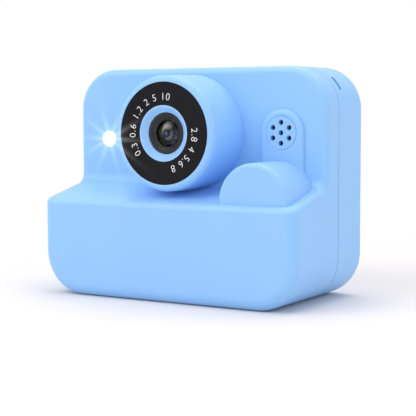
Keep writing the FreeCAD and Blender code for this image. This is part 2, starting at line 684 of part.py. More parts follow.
def gear(teeth, x0, x1, y, z, bore, point_at, tooth_there):
    """Spur gear round X.  point_at is the angle in the YZ plane to its neighbour,
    where it shows a tooth or a gap."""
    pitch = MODULE * teeth / 2
    step = 2 * math.pi / teeth
    start = point_at if tooth_there else point_at + step / 2
    outer = pitch + 0.85 * MODULE
    root = pitch - 1.15 * MODULE
    pts = []
    for k in range(teeth):
        a = start + k * step
        for r, da in ((root, -0.33), (outer, -0.11), (outer, 0.11), (root, 0.33)):
            pts.append((y + r * math.cos(a + da * step), z + r * math.sin(a + da * step)))
    blank = prism_x(pts, x0, x1)
    return blank.cut(cyl_x(x0 - 1, x1 + 1, y, z, bore)) if bore else blank


def angle_between(y0, z0, y1, z1):
    return math.atan2(z1 - z0, y1 - y0)


def make_platen_gear():
    to_idler = angle_between(PLATEN_Y, PLATEN_Z, IDLER_Y, idler_z())
    return gear(PLATEN_TEETH, GEAR_X - GEAR_W, GEAR_X, PLATEN_Y, PLATEN_Z, SHAFT_R, to_idler, True)


def make_idler_gear():
    z = idler_z()
    to_platen = angle_between(IDLER_Y, z, PLATEN_Y, PLATEN_Z)
    small = gear(IDLER_SMALL, GEAR_X - GEAR_W - 0.6, GEAR_X, IDLER_Y, z, 0, to_platen, False)
    down = -math.pi / 2
    big = gear(IDLER_BIG, GEAR_X - 6.6, GEAR_X - 3.6, IDLER_Y, z, 0, down, True)
    both = join([small, big])
    return both.cut(cyl_x(GEAR_X - 8, GEAR_X + 1, IDLER_Y, z, 1.0 + FIT))


def make_idler_pin():
    return cyl_x(-PLATE_X - 11.2, -PLATE_X, IDLER_Y, idler_z(), 1.0)


def make_motor_pinion():
    up = math.pi / 2
    z = motor_z()
    pinion = gear(PINION_TEETH, GEAR_X - 6.6, GEAR_X - 3.4, IDLER_Y, z, 0, up, False)
    return join([pinion, cyl_x(-PLATE_X - 13.0, GEAR_X - 2.8, IDLER_Y, z, 0.75)])


def make_drive_motor():
    x1 = -PLATE_X - 11.2
    can = cyl_x(x1 - 9.6, x1, IDLER_Y, motor_z(), MOTOR_R)
    edges = [e for e in can.Edges if e.BoundBox.XMax < x1 - 9]
    can = can.makeFillet(0.8, edges)
    return can.cut(cyl_x(x1 - 3.0, x1 + 1, IDLER_Y, motor_z(), 0.75 + FIT))


def make_printer_frame():
    y0 = PLATEN_Y - 5.0
    y1 = 17.0
    low = 66.0
    high = FRAME_TAB_Z
    x = PLATE_X
    gear_low = motor_z() - MOTOR_R
    gear_top = 84.5
    right = box(x, y0, low, x + PLATE_T, y1 + PLATE_T, high)
    left = box(-x - PLATE_T, y0, low, -x, y1 + PLATE_T, high)
    outer = box(-x - 11.2, y0, gear_low, -x - 10.0, y1 + PLATE_T, gear_top)
    rear = box(-x - PLATE_T, y1, low, x + PLATE_T, y1 + PLATE_T, high)
    gear_rear = box(-x - 11.2, y1, gear_low, -x, y1 + PLATE_T, gear_top)
    parts = [right, left, outer, rear, gear_rear]
    for tab in FRAME_TABS:
        parts.append(box(tab - 4, y1, high - PLATE_T, tab + 4, FRAME_TAB_Y + 3, high))
    frame = join(parts)
    frame = frame.cut(box(-x - 10.0, y1 - 1, idler_z() - 9.2, -x - 5.4, y1 + 3, idler_z() + 9.2))
    frame = frame.cut(box(-x, y1 - 1, 68.0, x, y1 + 3, 72.0))
    frame = frame.cut(cyl_x(-x - 5, x + 5, PLATEN_Y, PLATEN_Z, SHAFT_R + FIT))
    frame = frame.cut(cyl_x(-x - 12, -x + 1, IDLER_Y, idler_z(), 1.0))
    frame = frame.cut(cyl_x(-x - 12, -x - 9, IDLER_Y, motor_z(), 0.75 + 0.3))
    for tab in FRAME_TABS:
        frame = frame.cut(cyl_z(high - 3, high + 1, tab, FRAME_TAB_Y, SCREW_HOLE))
    return frame


def make_print_head():
    face = box(-27.0, SLOT_Y + 0.1, 77.0, 27.0, SLOT_Y + 1.1, 87.0)
    base = box(-29.0, SLOT_Y + 1.1, 74.0, 29.0, 17.0, 87.0)
    return join([face, base])


def make_platen_roller():
    return cyl_x(-28.6, 28.6, PLATEN_Y, PLATEN_Z, PLATEN_R).cut(
        cyl_x(-40, 40, PLATEN_Y, PLATEN_Z, SHAFT_R))


def make_platen_shaft():
    return cyl_x(GEAR_X - GEAR_W - 0.2, PLATE_X + PLATE_T + 0.8, PLATEN_Y, PLATEN_Z, SHAFT_R)


def make_tear_bar():
    y0 = SLOT_Y + 1.2
    y1 = SLOT_Y + 1.8
    z0 = HEIGHT - SKIN - 1.0
    z1 = HEIGHT - 0.9
    pts = [(-SLOT_HALF, z0), (SLOT_HALF, z0), (SLOT_HALF, z1 - 0.7)]
    count = 40
    pitch = 2 * SLOT_HALF / count
    for k in range(count):
        right = SLOT_HALF - k * pitch
        pts.append((right - pitch / 2, z1))
        pts.append((right - pitch, z1 - 0.7))
    wire = Part.makePolygon([V(x, y0, z) for x, z in pts + pts[:1]])
    return Part.Face(wire).extrude(V(0, y1 - y0, 0))


def make_paper_web():
    """Strip from the back of the roll up to the nip and out through the slot."""
    bend_z = 76.0
    dy = SLOT_Y - ROLL_Y
    dz = bend_z - ROLL_Z
    reach = ROLL_R + 0.15
    tilt = math.atan2(dy, dz) - math.asin(reach / math.hypot(dy, dz))
    y0 = ROLL_Y + reach * math.cos(tilt)
    z0 = ROLL_Z - reach * math.sin(tilt)
    t = PAPER_T / 2
    path = [(y0, z0), (SLOT_Y, bend_z), (SLOT_Y, HEIGHT - 0.4)]
    profile = [(y - t, z) for y, z in path] + [(y + t, z) for y, z in reversed(path)]
    return prism_x(profile, -PAPER_W / 2, PAPER_W / 2)


def make_paper_roll():
    half = PAPER_W / 2
    return cyl_x(-half, half, ROLL_Y, ROLL_Z, ROLL_R).cut(cyl_x(-half - 1, half + 1, ROLL_Y, ROLL_Z, CORE_R))


def make_roll_spindle():
    half = PAPER_W / 2
    drum = cyl_x(-half, half, ROLL_Y, ROLL_Z, CORE_R)
    axle = cyl_x(-BIN_X - 2.2, BIN_X + 2.2, ROLL_Y, ROLL_Z, SPINDLE_R)
    flange = cyl_x(half, half + 0.8, ROLL_Y, ROLL_Z, CORE_R + 2)
    other = cyl_x(-half - 0.8, -half, ROLL_Y, ROLL_Z, CORE_R + 2)
    return join([drum, axle, flange, other])


def make_paper_bin():
    y0 = -24.5
    y1 = 1.2
    z0 = 5.0
    x0 = BIN_X
    x1 = BIN_X + BIN_T
    roof = box(-x1, y0, BIN_TOP - 1.2, x1, y1, BIN_TOP)
    parts = [roof]
    for side in (-1, 1):
        low, high = (x0, x1) if side > 0 else (-x1, -x0)
        parts.append(box(low, y0, z0, high, y1, BIN_TOP))
    for x, y in BIN_SCREWS:
        low, high = (x0, x + 3.4) if x > 0 else (x - 3.4, -x0)
        parts.append(box(low, y - 3.4, BIN_TOP - 1.2, high, y + 3.4, BIN_TOP))
    frame = join(parts)
    frame = frame.cut(cyl_x(-x1 - 1, x1 + 1, ROLL_Y, ROLL_Z, SPINDLE_R + FIT))
    frame = frame.cut(box(-x1 - 1, ROLL_Y - 2.2, z0 - 1, x1 + 1, ROLL_Y + 2.2, ROLL_Z))
    for x, y in BIN_SCREWS:
        frame = frame.cut(cyl_z(BIN_TOP - 3, BIN_TOP + 1, x, y, 0.9))
    return frame


LATCH_Y = (-23.6, -14.0)
LATCH_W = 8.0
LATCH_REACH = 1.9


def make_paper_door():
    top = DOOR_Z + DOOR_T
    plate = box(-DOOR_HALF, DOOR_FRONT, DOOR_Z, DOOR_HALF, HINGE_Y, top)
    barrel = cyl_x(-DOOR_HALF, DOOR_HALF, HINGE_Y, HINGE_Z, DOOR_T / 2)
    door = join([plate, barrel])
    ribs = []
    for x in (-26.0, -18.0, 18.0, 26.0):
        ribs.append(box(x - 0.5, DOOR_FRONT + 2, top - 0.1, x + 0.5, HINGE_Y - 3, top + 1.2))
    y0, y1 = LATCH_Y
    for side in (-1, 1):
        a = LATCH_W + 0.2
        b = LATCH_W + 1.6
        low, high = (a, b) if side > 0 else (-b, -a)
        ribs.append(box(low, y0 + 0.4, top - 0.1, high, y1 + 3.5, top + 2.6))
        a = LATCH_W - 1.0
        low, high = (a, b) if side > 0 else (-b, -a)
        ribs.append(box(low, y0 + 0.4, top + 1.4, high, y1 + 3.5, top + 2.6))
    door = join([door] + ribs)
    door = door.cut(box(-5.4, -21.8, DOOR_Z - 1, 5.4, -14.8, top + 0.5))
    door = door.cut(cyl_x(-DOOR_HALF - 1, DOOR_HALF + 1, HINGE_Y, HINGE_Z, HINGE_PIN_R + FIT))
    return door


def make_door_pin():
    return cyl_x(-DOOR_HALF - 3.4, DOOR_HALF + 3.4, HINGE_Y, HINGE_Z, HINGE_PIN_R)


def make_door_latch():
    top = DOOR_Z + DOOR_T
    y0, y1 = LATCH_Y
    slide = box(-LATCH_W, y0 + 0.1, top + 0.1, LATCH_W, y1, top + 1.2)
    tongue = box(-4.0, y0 - LATCH_REACH, top + 0.1, 4.0, y0 + 0.2, top + 1.0)
    grip = box(-5.0, -21.4, DOOR_Z + 0.2, 5.0, -18.2, top + 0.2)
    for k in range(3):
        y = -20.9 + k * 0.9
        grip = grip.cut(box(-4.0, y, DOOR_Z, 4.0, y + 0.4, DOOR_Z + 0.7))
    return join([slide, tongue, grip])


def make_usb_port():
    x0 = -HALF_W + RECESS
    z = PORT_Z[0]
    y = KEY_BOARD_Y - 1.6
    shell = box(x0, y - 1.6, z - 4.4, x0 + 7.3, y + 1.6, z + 4.4)
    shell = shell.makeFillet(1.4, [e for e in shell.Edges if e.BoundBox.XLength > 7])
    shell = shell.cut(box(x0 - 1, y - 1.2, z - 4.0, x0 + 6, y + 1.2, z + 4.0))
    return join([shell, box(x0 + 1.0, y - 0.35, z - 3.4, x0 + 6.5, y + 0.35, z + 3.4)])


def make_card_slot():
    x0 = -HALF_W + RECESS + 0.3
    z = PORT_Z[1]
    y1 = KEY_BOARD_Y
    body = box(x0, y1 - 1.9, z - 5.8, x0 + 14.5, y1, z + 5.8)
    return body.cut(box(x0 - 1, y1 - 1.5, z - 5.5, x0 + 14, y1 - 0.6, z + 5.5))


def make_port_cover():
    y0, y1 = FLAP_Y
    z0 = FLAP_Z[0] + 0.3
    z1 = FLAP_Z[1] - 0.3
    axis_x = -HALF_W + 0.75
    half = FLAP_T / 2
    plate = box(axis_x - half, y0, z0, axis_x + half, y1, z1)
    barrel = cyl_z(z0, z1, axis_x, y0, half)
    pin = cyl_z(z0 - 1.2, z1 + 1.2, axis_x, y0, 0.4)
    notch = cyl_z(z0 + 12, z1 - 12, axis_x - half, y1, 0.7)
    return join([plate, barrel, pin]).cut(notch)


def make_lanyard_pin():
    x, z = lanyard_pin_point()
    return cyl_y(LANYARD_Y - 3.2, LANYARD_Y + 3.2, x, z, LANYARD_PIN_R)


def screw_y(x, z, seat, length, head_r, head_h, shank_r, way):
    """Pan-head screw along Y, head at the seat plane, shank running the given way."""
    if way < 0:
        parts = [cyl_y(seat, seat + head_h, x, z, head_r), cyl_y(seat - length, seat, x, z, shank_r)]
        slot_y = seat + head_h - 0.6
    else:
        parts = [cyl_y(seat - head_h, seat, x, z, head_r), cyl_y(seat, seat + length, x, z, shank_r)]
        slot_y = seat - head_h
    body = join(parts)
    arm = head_r * 0.55
    cross = box(x - arm, slot_y, z - 0.25, x + arm, slot_y + 0.6, z + 0.25)
    cross = cross.fuse(box(x - 0.25, slot_y, z - arm, x + 0.25, slot_y + 0.6, z + arm))
    return body.cut(cross)


def make_case_screws():
    return Part.makeCompound([screw_y(x, z, CASE_SEAT, CASE_SCREW, 2.5, 1.6, 1.1, -1) for x, z in CASE_BOSSES])


def make_barrel_screws():
    seat = WALL_Y + SKIN
    return Part.makeCompound([screw_y(x, z, seat, 7.6, 2.0, 1.2, 1.1, -1) for x, z in barrel_screw_points()])


def make_board_screws():
    parts = []
    for x, z in PCB_SCREWS:
        parts.append(screw_y(x, z, PCB_Y, 5.0, 1.6, 0.9, SCREW_HOLE, 1))
    for x, z in KEY_BOARD_SCREWS:
        parts.append(screw_y(x, z, KEY_BOARD_Y, 4.2, 1.6, 0.9, SCREW_HOLE, 1))
    for x, z in sensor_posts():
        parts.append(screw_y(x, z, SENSOR_Y + 1.0, 5.0, 1.6, 0.9, SCREW_HOLE, -1))
    for _, _, (x, y) in TOP_BOARDS:
        z = TOP_BOARD_Z - 1.2
        parts.append(join([cyl_z(z - 0.9, z, x, y, 1.6), cyl_z(z, z + 4.6, x, y, SCREW_HOLE)]))
    for x in FRAME_TABS:
        z = FRAME_TAB_Z - PLATE_T
        parts.append(join([cyl_z(z - 0.9, z, x, FRAME_TAB_Y, 1.6), cyl_z(z, z + 4.6, x, FRAME_TAB_Y, SCREW_HOLE)]))
    return Part.makeCompound(parts)


def make_block_screws():
    parts = []
    for x, y in BIN_SCREWS:
        z = BIN_TOP - 1.2
        parts.append(join([cyl_z(z - 1.2, z, x, y, 1.9), cyl_z(z, z + 5.0, x, y, 0.9)]))
    for x, y in POD_SCREWS:
        parts.append(join([cyl_z(POD_SEAT - 1.2, POD_SEAT, x, y, 1.9),
                           cyl_z(POD_SEAT, ledge_z(y) + 4.6, x, y, 0.9)]))
    return Part.makeCompound(parts)


NODES = {
    "front_shell": make_front_shell,
    "rear_shell": make_rear_shell,
    "speaker_pad": make_speaker_pad,
    "speaker_grille": make_speaker_grille,
    "pod_cover": make_pod_cover,
    "lens_barrel": make_lens_barrel,
    "lens_bezel": make_lens_bezel,
    "lens_housing": make_lens_housing,
    "lens_retainer": make_lens_retainer,
    "front_lens": make_front_lens,
    "aperture_ring": make_aperture_ring,
    "rear_lens": make_rear_lens,
    "sensor_holder": make_sensor_holder,
    "sensor_board": make_sensor_board,
    "flash_lens": make_flash_lens,
    "flash_board": make_flash_board,
    "speaker": make_speaker,
    "main_pcb": make_main_pcb,
    "lcd_module": make_lcd_module,
    "screen_window": make_screen_window,
    "key_board": make_key_board,
    "tact_switches": make_tact_switches,
    "switch_boards": make_switch_boards,
    "battery_pack": make_battery_pack,
    "printer_frame": make_printer_frame,
    "print_head": make_print_head,
    "platen_roller": make_platen_roller,
    "platen_shaft": make_platen_shaft,
    "platen_gear": make_platen_gear,
    "idler_gear": make_idler_gear,
    "idler_pin": make_idler_pin,
    "drive_motor": make_drive_motor,
    "motor_pinion": make_motor_pinion,
    "tear_bar": make_tear_bar,
    "paper_web": make_paper_web,
    "paper_roll": make_paper_roll,
    "roll_spindle": make_roll_spindle,
    "paper_bin": make_paper_bin,
    "paper_door": make_paper_door,
    "door_pin": make_door_pin,
    "door_latch": make_door_latch,
    "usb_port": make_usb_port,
    "card_slot": make_card_slot,
    "port_cover": make_port_cover,
    "lanyard_pin": make_lanyard_pin,
    "case_screws": make_case_screws,
    "barrel_screws": make_barrel_screws,
    "board_screws": make_board_screws,
    "block_screws": make_block_screws,
}


# the model is drawn from the wall outwards; the finished pieces stand with the middle of their depth at Y = 0
MIDDLE_Y = (FRONT_Y + BACK_Y + KEY_PROUD) / 2


def main():
    os.makedirs("parts", exist_ok=True)
    shapes = {name: make() for name, make in NODES.items()}
    for name, (x, z, r) in KEYS.items():
        shapes[name] = make_key(x, z, r)
    shapes["shutter_button"] = make_top_button(SHUTTER_X, SHUTTER_R)
    shapes["power_button"] = make_top_button(POWER_X, POWER_R)
    for name, shape in shapes.items():
        shape.translate(V(0, -MIDDLE_Y, 0))
        shape.exportStep("parts/" + name + ".step")
        print(name, shape.isValid(), len(shape.Solids), round(shape.Volume, 1))


main()
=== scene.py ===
import bpy
import bmesh
import math
from mathutils import Matrix, Vector


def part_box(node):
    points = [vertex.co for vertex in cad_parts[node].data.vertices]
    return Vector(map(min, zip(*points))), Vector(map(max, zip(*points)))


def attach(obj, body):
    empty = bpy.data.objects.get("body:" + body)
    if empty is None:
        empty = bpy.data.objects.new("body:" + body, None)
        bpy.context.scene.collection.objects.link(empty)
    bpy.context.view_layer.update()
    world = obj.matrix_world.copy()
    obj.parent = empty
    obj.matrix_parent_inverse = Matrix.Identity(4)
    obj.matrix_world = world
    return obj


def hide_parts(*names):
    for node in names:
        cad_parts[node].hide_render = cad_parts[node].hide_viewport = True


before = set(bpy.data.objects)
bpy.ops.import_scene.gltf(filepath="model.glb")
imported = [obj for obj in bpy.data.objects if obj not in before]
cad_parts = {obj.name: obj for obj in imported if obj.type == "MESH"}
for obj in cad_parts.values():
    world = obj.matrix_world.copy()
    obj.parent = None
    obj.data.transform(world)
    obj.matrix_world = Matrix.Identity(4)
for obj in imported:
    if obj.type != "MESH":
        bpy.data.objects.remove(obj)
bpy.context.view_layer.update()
MM = 0.001


# ---------------------------------------------------------------- materials
class Nodes:
    """Small helper round a material's node tree."""

    def __init__(self, name):
        self.mat = bpy.data.materials.new(name)
        self.mat.use_nodes = True
        self.tree = self.mat.node_tree
        self.shader = self.tree.nodes["Principled BSDF"]
        coord = self.add("ShaderNodeTexCoord")
        self.coord = coord.outputs["Object"]

    def add(self, kind, **values):
        node = self.tree.nodes.new(kind)
        for key, value in values.items():
            setattr(node, key, value)
        return node

    def link(self, a, b):
        self.tree.links.new(a, b)

    def put(self, **values):
        for key, value in values.items():
            self.shader.inputs[key.replace("_", " ")].default_value = value

    def noise(self, scale, detail=2.0, rough=0.5, vector=None):
        node = self.add("ShaderNodeTexNoise")
        node.inputs["Scale"].default_value = scale
        node.inputs["Detail"].default_value = detail
        node.inputs["Roughness"].default_value = rough
        self.link(vector or self.coord, node.inputs["Vector"])
        return node.outputs["Fac"]

    def spread(self, value, low, high, a=0.0, b=1.0):
        node = self.add("ShaderNodeMapRange")
        node.inputs["From Min"].default_value = low
        node.inputs["From Max"].default_value = high
        node.inputs["To Min"].default_value = a
        node.inputs["To Max"].default_value = b
        self.link(value, node.inputs["Value"])
        return node.outputs["Result"]

    def mix(self, fac, a, b):
        node = self.add("ShaderNodeMix", data_type="RGBA")
        for socket, value in ((node.inputs[6], a), (node.inputs[7], b)):
            if isinstance(value, tuple):
                socket.default_value = value if len(value) == 4 else value + (1.0,)
            else:
                self.link(value, socket)
        self.link(fac, node.inputs[0])
        return node.outputs[2]

    def blend(self, fac, a, b):
        """Mix of two shaders."""
        node = self.add("ShaderNodeMixShader")
        for socket, output in zip(node.inputs, (fac, a, b)):
            self.link(output, socket)
        return node.outputs[0]

    def math(self, op, a, b=0.0):
        node = self.add("ShaderNodeMath", operation=op)
        for socket, value in ((node.inputs[0], a), (node.inputs[1], b)):
            if isinstance(value, (int, float)):
                socket.default_value = value
            else:
                self.link(value, socket)
        return node.outputs[0]

    def polar(self, centre):
        """Offsets from centre (x, z) and the distance from it, in millimetres."""
        split = self.add("ShaderNodeSeparateXYZ")
        self.link(self.coord, split.inputs[0])
        dx = self.math("MULTIPLY", self.math("SUBTRACT", split.outputs["X"], centre[0]), 1000.0)
        dz = self.math("MULTIPLY", self.math("SUBTRACT", split.outputs["Z"], centre[1]), 1000.0)
        squares = self.math("ADD", self.math("MULTIPLY", dx, dx), self.math("MULTIPLY", dz, dz))
        r = self.math("SQRT", squares)
        return dx, dz, r

    def bump(self, height, strength, distance):
        node = self.add("ShaderNodeBump")
        node.inputs["Strength"].default_value = strength
        node.inputs["Distance"].default_value = distance
        self.link(height, node.inputs["Height"])
        self.link(node.outputs["Normal"], self.shader.inputs["Normal"])

    def colour(self, output):
        self.link(output, self.shader.inputs["Base Color"])

    def roughness(self, output):
        self.link(output, self.shader.inputs["Roughness"])


def shade(c, k):
    return tuple(min(1.0, v * k) for v in c)


def moulded(name, colour, rough, grain=2600.0, grain_depth=0.00002, mottle=0.03, **extra):
    """Moulded or painted plastic: soft mottling, a fine grain and uneven gloss."""
    n = Nodes(name)
    broad = n.noise(38.0, 3.0)
    fine = n.noise(grain, 2.0, 0.6)
    n.colour(n.mix(n.spread(broad, 0.3, 0.7), shade(colour, 1 - mottle), shade(colour, 1 + mottle)))
    n.roughness(n.spread(n.noise(420.0, 4.0), 0.25, 0.75, rough - 0.04, rough + 0.05))
    n.bump(fine, 0.35, grain_depth)
    n.put(**extra)
    return n.mat


BLUE = (0.290, 0.572, 0.960)


def soft_touch():
    """Matt soft-touch lacquer: a little sheen, a fine pebble and faint handling marks."""
    n = Nodes("soft_touch_blue")
    broad = n.noise(30.0, 3.0)
    specks = n.noise(900.0, 2.0)
    base = n.mix(n.spread(broad, 0.3, 0.7), shade(BLUE, 0.985), shade(BLUE, 1.015))
    base = n.mix(n.spread(specks, 0.66, 0.80, 0.0, 0.10), base, shade(BLUE, 1.10))
    n.colour(base)
    n.roughness(n.spread(n.noise(160.0, 5.0), 0.3, 0.7, 0.40, 0.48))
    pebble = n.math("ADD", n.noise(3200.0, 2.0, 0.6), n.math("MULTIPLY", n.noise(700.0), 0.4))
    n.bump(pebble, 0.28, 0.00002)
    n.put(Specular_IOR_Level=0.46, Sheen_Weight=0.12, Sheen_Roughness=0.5)
    n.shader.inputs["Sheen Tint"].default_value = (0.75, 0.88, 1.0, 1.0)
    return n.mat


def metal(name, colour, rough, brush=(1.0, 1.0, 14.0)):
    n = Nodes(name)
    stretch = n.add("ShaderNodeMapping")
    stretch.inputs["Scale"].default_value = brush
    n.link(n.coord, stretch.inputs["Vector"])
    lines = n.noise(900.0, 3.0, 0.6, stretch.outputs["Vector"])
    n.colour(n.mix(n.spread(n.noise(120.0), 0.3, 0.7), shade(colour, 0.9), colour))
    n.roughness(n.spread(lines, 0.3, 0.7, rough, rough + 0.14))
    n.bump(lines, 0.15, 0.000012)
    n.put(Metallic=1.0)
    return n.mat


def board_mask():
    """Solder mask over copper tracks, with the tracks just visible."""
    n = Nodes("board_green")
    tracks = n.add("ShaderNodeTexBrick")
    tracks.inputs["Scale"].default_value = 260.0
    tracks.inputs["Mortar Size"].default_value = 0.035
    tracks.inputs["Color1"].default_value = (0.0, 0.0, 0.0, 1.0)
    tracks.inputs["Color2"].default_value = (0.25, 0.25, 0.25, 1.0)
    tracks.inputs["Mortar"].default_value = (1.0, 1.0, 1.0, 1.0)
    flat = n.add("ShaderNodeMapping")
    flat.inputs["Rotation"].default_value = (math.radians(90), 0.0, 0.0)
    n.link(n.coord, flat.inputs["Vector"])
    n.link(flat.outputs["Vector"], tracks.inputs["Vector"])
    fac = n.add("ShaderNodeRGBToBW")
    n.link(tracks.outputs["Color"], fac.inputs["Color"])
    n.colour(n.mix(fac.outputs["Val"], (0.012, 0.12, 0.045), (0.05, 0.26, 0.10)))
    n.roughness(n.spread(n.noise(300.0), 0.3, 0.7, 0.25, 0.36))
    n.bump(fac.outputs["Val"], 0.5, 0.00003)
    return n.mat


def paper():
    n = Nodes("thermal_paper")
    fibres = n.noise(2400.0, 5.0, 0.7)
    n.colour(n.mix(n.spread(fibres, 0.35, 0.65), (0.86, 0.86, 0.84), (0.93, 0.93, 0.92)))
    n.roughness(n.spread(fibres, 0.3, 0.7, 0.45, 0.6))
    n.bump(fibres, 0.3, 0.00002)
    n.put(Specular_IOR_Level=0.3)
    return n.mat


def bezel_gloss():
    n = Nodes("bezel_gloss_black")
    haze = n.noise(700.0, 4.0)
    n.colour(n.mix(n.spread(n.noise(60.0), 0.3, 0.7), (0.009, 0.009, 0.011), (0.013, 0.013, 0.016)))
    n.roughness(n.spread(haze, 0.3, 0.7, 0.20, 0.28))
    n.bump(haze, 0.06, 0.00001)
    n.put(Specular_IOR_Level=0.12)
    return n.mat


def coated_glass():
    """Front element: clear glass whose coating keeps its reflections low."""
    n = Nodes("coated_glass")
    n.roughness(n.spread(n.noise(900.0), 0.3, 0.7, 0.0, 0.02))
    n.colour(n.mix(n.spread(n.noise(80.0), 0.3, 0.7), (0.92, 0.95, 0.98), (0.97, 0.99, 1.0)))
    n.put(Transmission_Weight=1.0, IOR=1.22)
    return n.mat


def clear_glass(name, tint):
    n = Nodes(name)
    n.colour(n.mix(n.spread(n.noise(120.0), 0.3, 0.7), shade(tint, 0.97), tint))
    n.roughness(n.spread(n.noise(1500.0), 0.3, 0.7, 0.02, 0.06))
    n.put(Transmission_Weight=1.0, IOR=1.49)
    return n.mat


def painted_lens_reflections(centre):
    """Inner element in dark painted shade, with painted reflections: a violet pupil reflection, a pale
    crescent highlight above it, and faint ring reflections and lit rim and iris rings below.
    """
    n = Nodes("inner_element_painted_reflections")
    dx, dz, r = n.polar(centre)
    # 1 towards the upper left of the element, -1 towards its lower right; the painted highlights and
    # reflections are weighted along this
    lean = n.math("SUBTRACT", n.math("MULTIPLY", dz, 0.71), n.math("MULTIPLY", dx, 0.71))
    lean = n.math("DIVIDE", lean, n.math("MAXIMUM", r, 0.01))

    def band(low, high, soft_low, soft_high):
        up = n.spread(r, low, low + soft_low)
        down = n.spread(r, high - soft_high, high, 1.0, 0.0)
        return n.math("MULTIPLY", up, down)

    # painted shade: near-black ground standing for the dark inside of the lens, mottled at random
    dust = n.spread(n.noise(300.0), 0.35, 0.75, 0.0, 0.4)
    base = n.mix(dust, (0.006, 0.006, 0.007), (0.014, 0.014, 0.016))
    # painted highlight: pale crescent to the upper left, greener towards its left end
    crescent_highlight = n.math("MULTIPLY", band(1.5, 5.2, 1.2, 2.4), n.spread(lean, 0.30, 0.96))
    highlight_colour = n.mix(n.spread(dx, -2.6, -0.4), (0.42, 0.55, 0.22), (0.70, 0.72, 0.64))
    shown = n.mix(crescent_highlight, base, highlight_colour)
    # painted reflection: faint rings on the lower right
    waves = n.spread(n.math("SINE", n.math("MULTIPLY", r, 17.0)), -1.0, 1.0, 0.35, 1.0)
    below = n.math("MULTIPLY", band(3.3, 5.1, 0.4, 0.3), waves)
    below = n.math("MULTIPLY", below, n.spread(lean, -0.35, -0.9))
    shown = n.mix(below, shown, (0.075, 0.090, 0.130))
    # painted highlight: light rim ring, strongest to the lower right
    rim_highlight = n.math("MULTIPLY", band(2.45, 2.85, 0.14, 0.14), n.spread(lean, 0.5, -0.6, 0.15, 0.9))
    shown = n.mix(rim_highlight, shown, (0.16, 0.16, 0.17))
    # painted highlight: light on the iris ring's lower right
    iris_highlight = n.math("MULTIPLY", band(1.5, 2.5, 0.3, 0.4), n.spread(lean, -0.2, -0.9, 0.0, 0.8))
    shown = n.mix(iris_highlight, shown, (0.20, 0.22, 0.24))
    # painted shade: near-black disc round the pupil
    shown = n.mix(n.spread(r, 1.35, 1.0), shown, (0.004, 0.004, 0.006))
    # painted reflection: violet pupil, brightest to its left
    pupil_reflection = n.mix(n.spread(dx, -0.7, 0.5), (0.15, 0.11, 0.62), (0.03, 0.02, 0.12))
    n.colour(n.mix(n.spread(r, 0.95, 0.55), shown, pupil_reflection))
    n.roughness(n.spread(n.noise(900.0), 0.3, 0.7, 0.10, 0.16))
    n.put(Specular_IOR_Level=0.15)
    return n.mat


def screen_gloss(low, high, margin):
    """Black printed border round a slightly bluer display."""
    n = Nodes("screen_gloss")
    split = n.add("ShaderNodeSeparateXYZ")
    n.link(n.coord, split.inputs[0])
    inside = None
    for axis, index in (("X", 0), ("Z", 2)):
        mid = (low[index] + high[index]) / 2
        half = (high[index] - low[index]) / 2 - margin
        off = n.math("ABSOLUTE", n.math("SUBTRACT", split.outputs[axis], mid))
        within = n.math("LESS_THAN", off, half)
        inside = within if inside is None else n.math("MULTIPLY", inside, within)
    glow = n.mix(n.spread(n.noise(25.0), 0.3, 0.7), (0.012, 0.016, 0.024), (0.020, 0.026, 0.038))
    n.colour(n.mix(inside, (0.0035, 0.0035, 0.004), glow))
    n.roughness(n.spread(n.noise(500.0, 4.0), 0.3, 0.7, 0.05, 0.10))
    n.put(Coat_Weight=0.6, Coat_Roughness=0.03)
    return n.mat


def glowing(name, colour, centre, core, strength, core_strength):
    """Lit lamp, far brighter in its core (a radius in millimetres) than over the rest of its face."""
    n = Nodes(name)
    r = n.polar(centre)[2]
    n.link(n.spread(r, core * 0.8, core, core_strength, strength), n.shader.inputs["Emission Strength"])
    n.colour(n.mix(n.noise(900.0), shade(colour, 0.9), colour))
    n.shader.inputs["Emission Color"].default_value = colour + (1.0,)
    return n.mat


def cloth(name):
    n = Nodes(name)
    weave = n.add("ShaderNodeTexVoronoi")
    weave.inputs["Scale"].default_value = 2600.0
    n.link(n.coord, weave.inputs["Vector"])
    n.colour(n.mix(weave.outputs["Distance"], (0.004, 0.004, 0.005), (0.02, 0.02, 0.024)))
    n.bump(weave.outputs["Distance"], 0.8, 0.00006)
    n.put(Roughness=0.9, Specular_IOR_Level=0.1)
    return n.mat


def axis_of(node):
    """Middle (x, z) of a node that is round about a front-to-back axis."""
    low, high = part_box(node)
    return (low.x + high.x) / 2, (low.z + high.z) / 2


LENS = axis_of("lens_bezel")
BEZEL_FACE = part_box("lens_bezel")[0].y
FLASH = axis_of("flash_lens")
# the inner element's pattern is its painted reflections and shade
PUPIL_SHIFT = 0.5 * MM          # how far the inner element's pattern lies to the left of the lens's axis
SCREEN_MARGIN = 5.5 * MM

